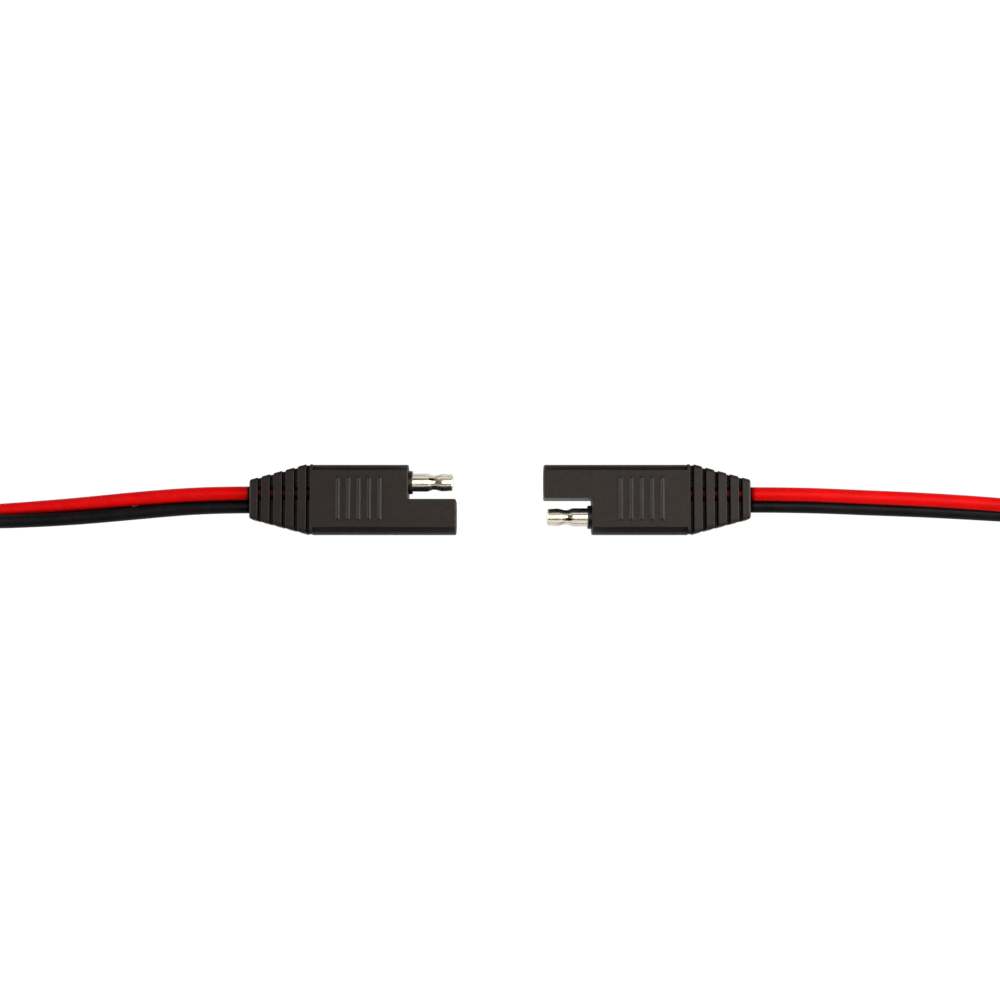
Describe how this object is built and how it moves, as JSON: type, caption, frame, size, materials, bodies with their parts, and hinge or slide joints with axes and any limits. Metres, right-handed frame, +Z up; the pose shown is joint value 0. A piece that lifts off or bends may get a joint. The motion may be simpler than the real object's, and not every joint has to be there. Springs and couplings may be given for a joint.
{
  "type": "solar cable connector",
  "caption": "Flat moulded quick-disconnect plugs for a solar or battery lead: bullet pins, shrouded sockets, ribbed strain reliefs and bonded red and black leads.",
  "frame": {"origin": "on the rest surface, midway between the plugs", "axes": "+X along the mating axis towards the right plug, +Y across the plugs, +Z up from the rest surface"},
  "size_m": [0.4718, 0.042, 0.0102],
  "materials": {
    "overmold_pvc": "fine matt grain",
    "carrier_pvc": "satin moulded",
    "plated_brass": "bright nickel plate",
    "red_insulation": "satin extruded",
    "black_insulation": "satin extruded",
    "copper": "bare stranded copper",
    "tinned_copper": "solder-tinned strands",
    "tie_nylon": "satin moulded"
  },
  "bodies": {
    "left_half": {"left_overmold": "overmold_pvc", "left_socket_shroud": "overmold_pvc", "left_strain_relief": "overmold_pvc", "left_terminal_carrier": "carrier_pvc", "left_bullet_terminal": "plated_brass", "left_socket_terminal": "plated_brass", "left_red_wire": "red_insulation", "left_black_wire": "black_insulation", "left_red_conductor": "copper", "left_black_conductor": "copper", "left_lead_red": "red_insulation", "left_lead_black": "black_insulation", "left_lead_red_core": "tinned_copper", "left_lead_black_core": "tinned_copper", "left_lead_tie": "tie_nylon"},
    "right_half": {"right_overmold": "overmold_pvc", "right_socket_shroud": "overmold_pvc", "right_strain_relief": "overmold_pvc", "right_terminal_carrier": "carrier_pvc", "right_bullet_terminal": "plated_brass", "right_socket_terminal": "plated_brass", "right_red_wire": "red_insulation", "right_black_wire": "black_insulation", "right_red_conductor": "copper", "right_black_conductor": "copper", "right_lead_red": "red_insulation", "right_lead_black": "black_insulation", "right_lead_red_core": "tinned_copper", "right_lead_black_core": "tinned_copper", "right_lead_tie": "tie_nylon"}
  },
  "joints": [
    {"name": "mate_slide", "type": "slide", "parent": "left_half", "child": "right_half", "axis": [-1, 0, 0], "range_m": [0, 0.034]}
  ]
}
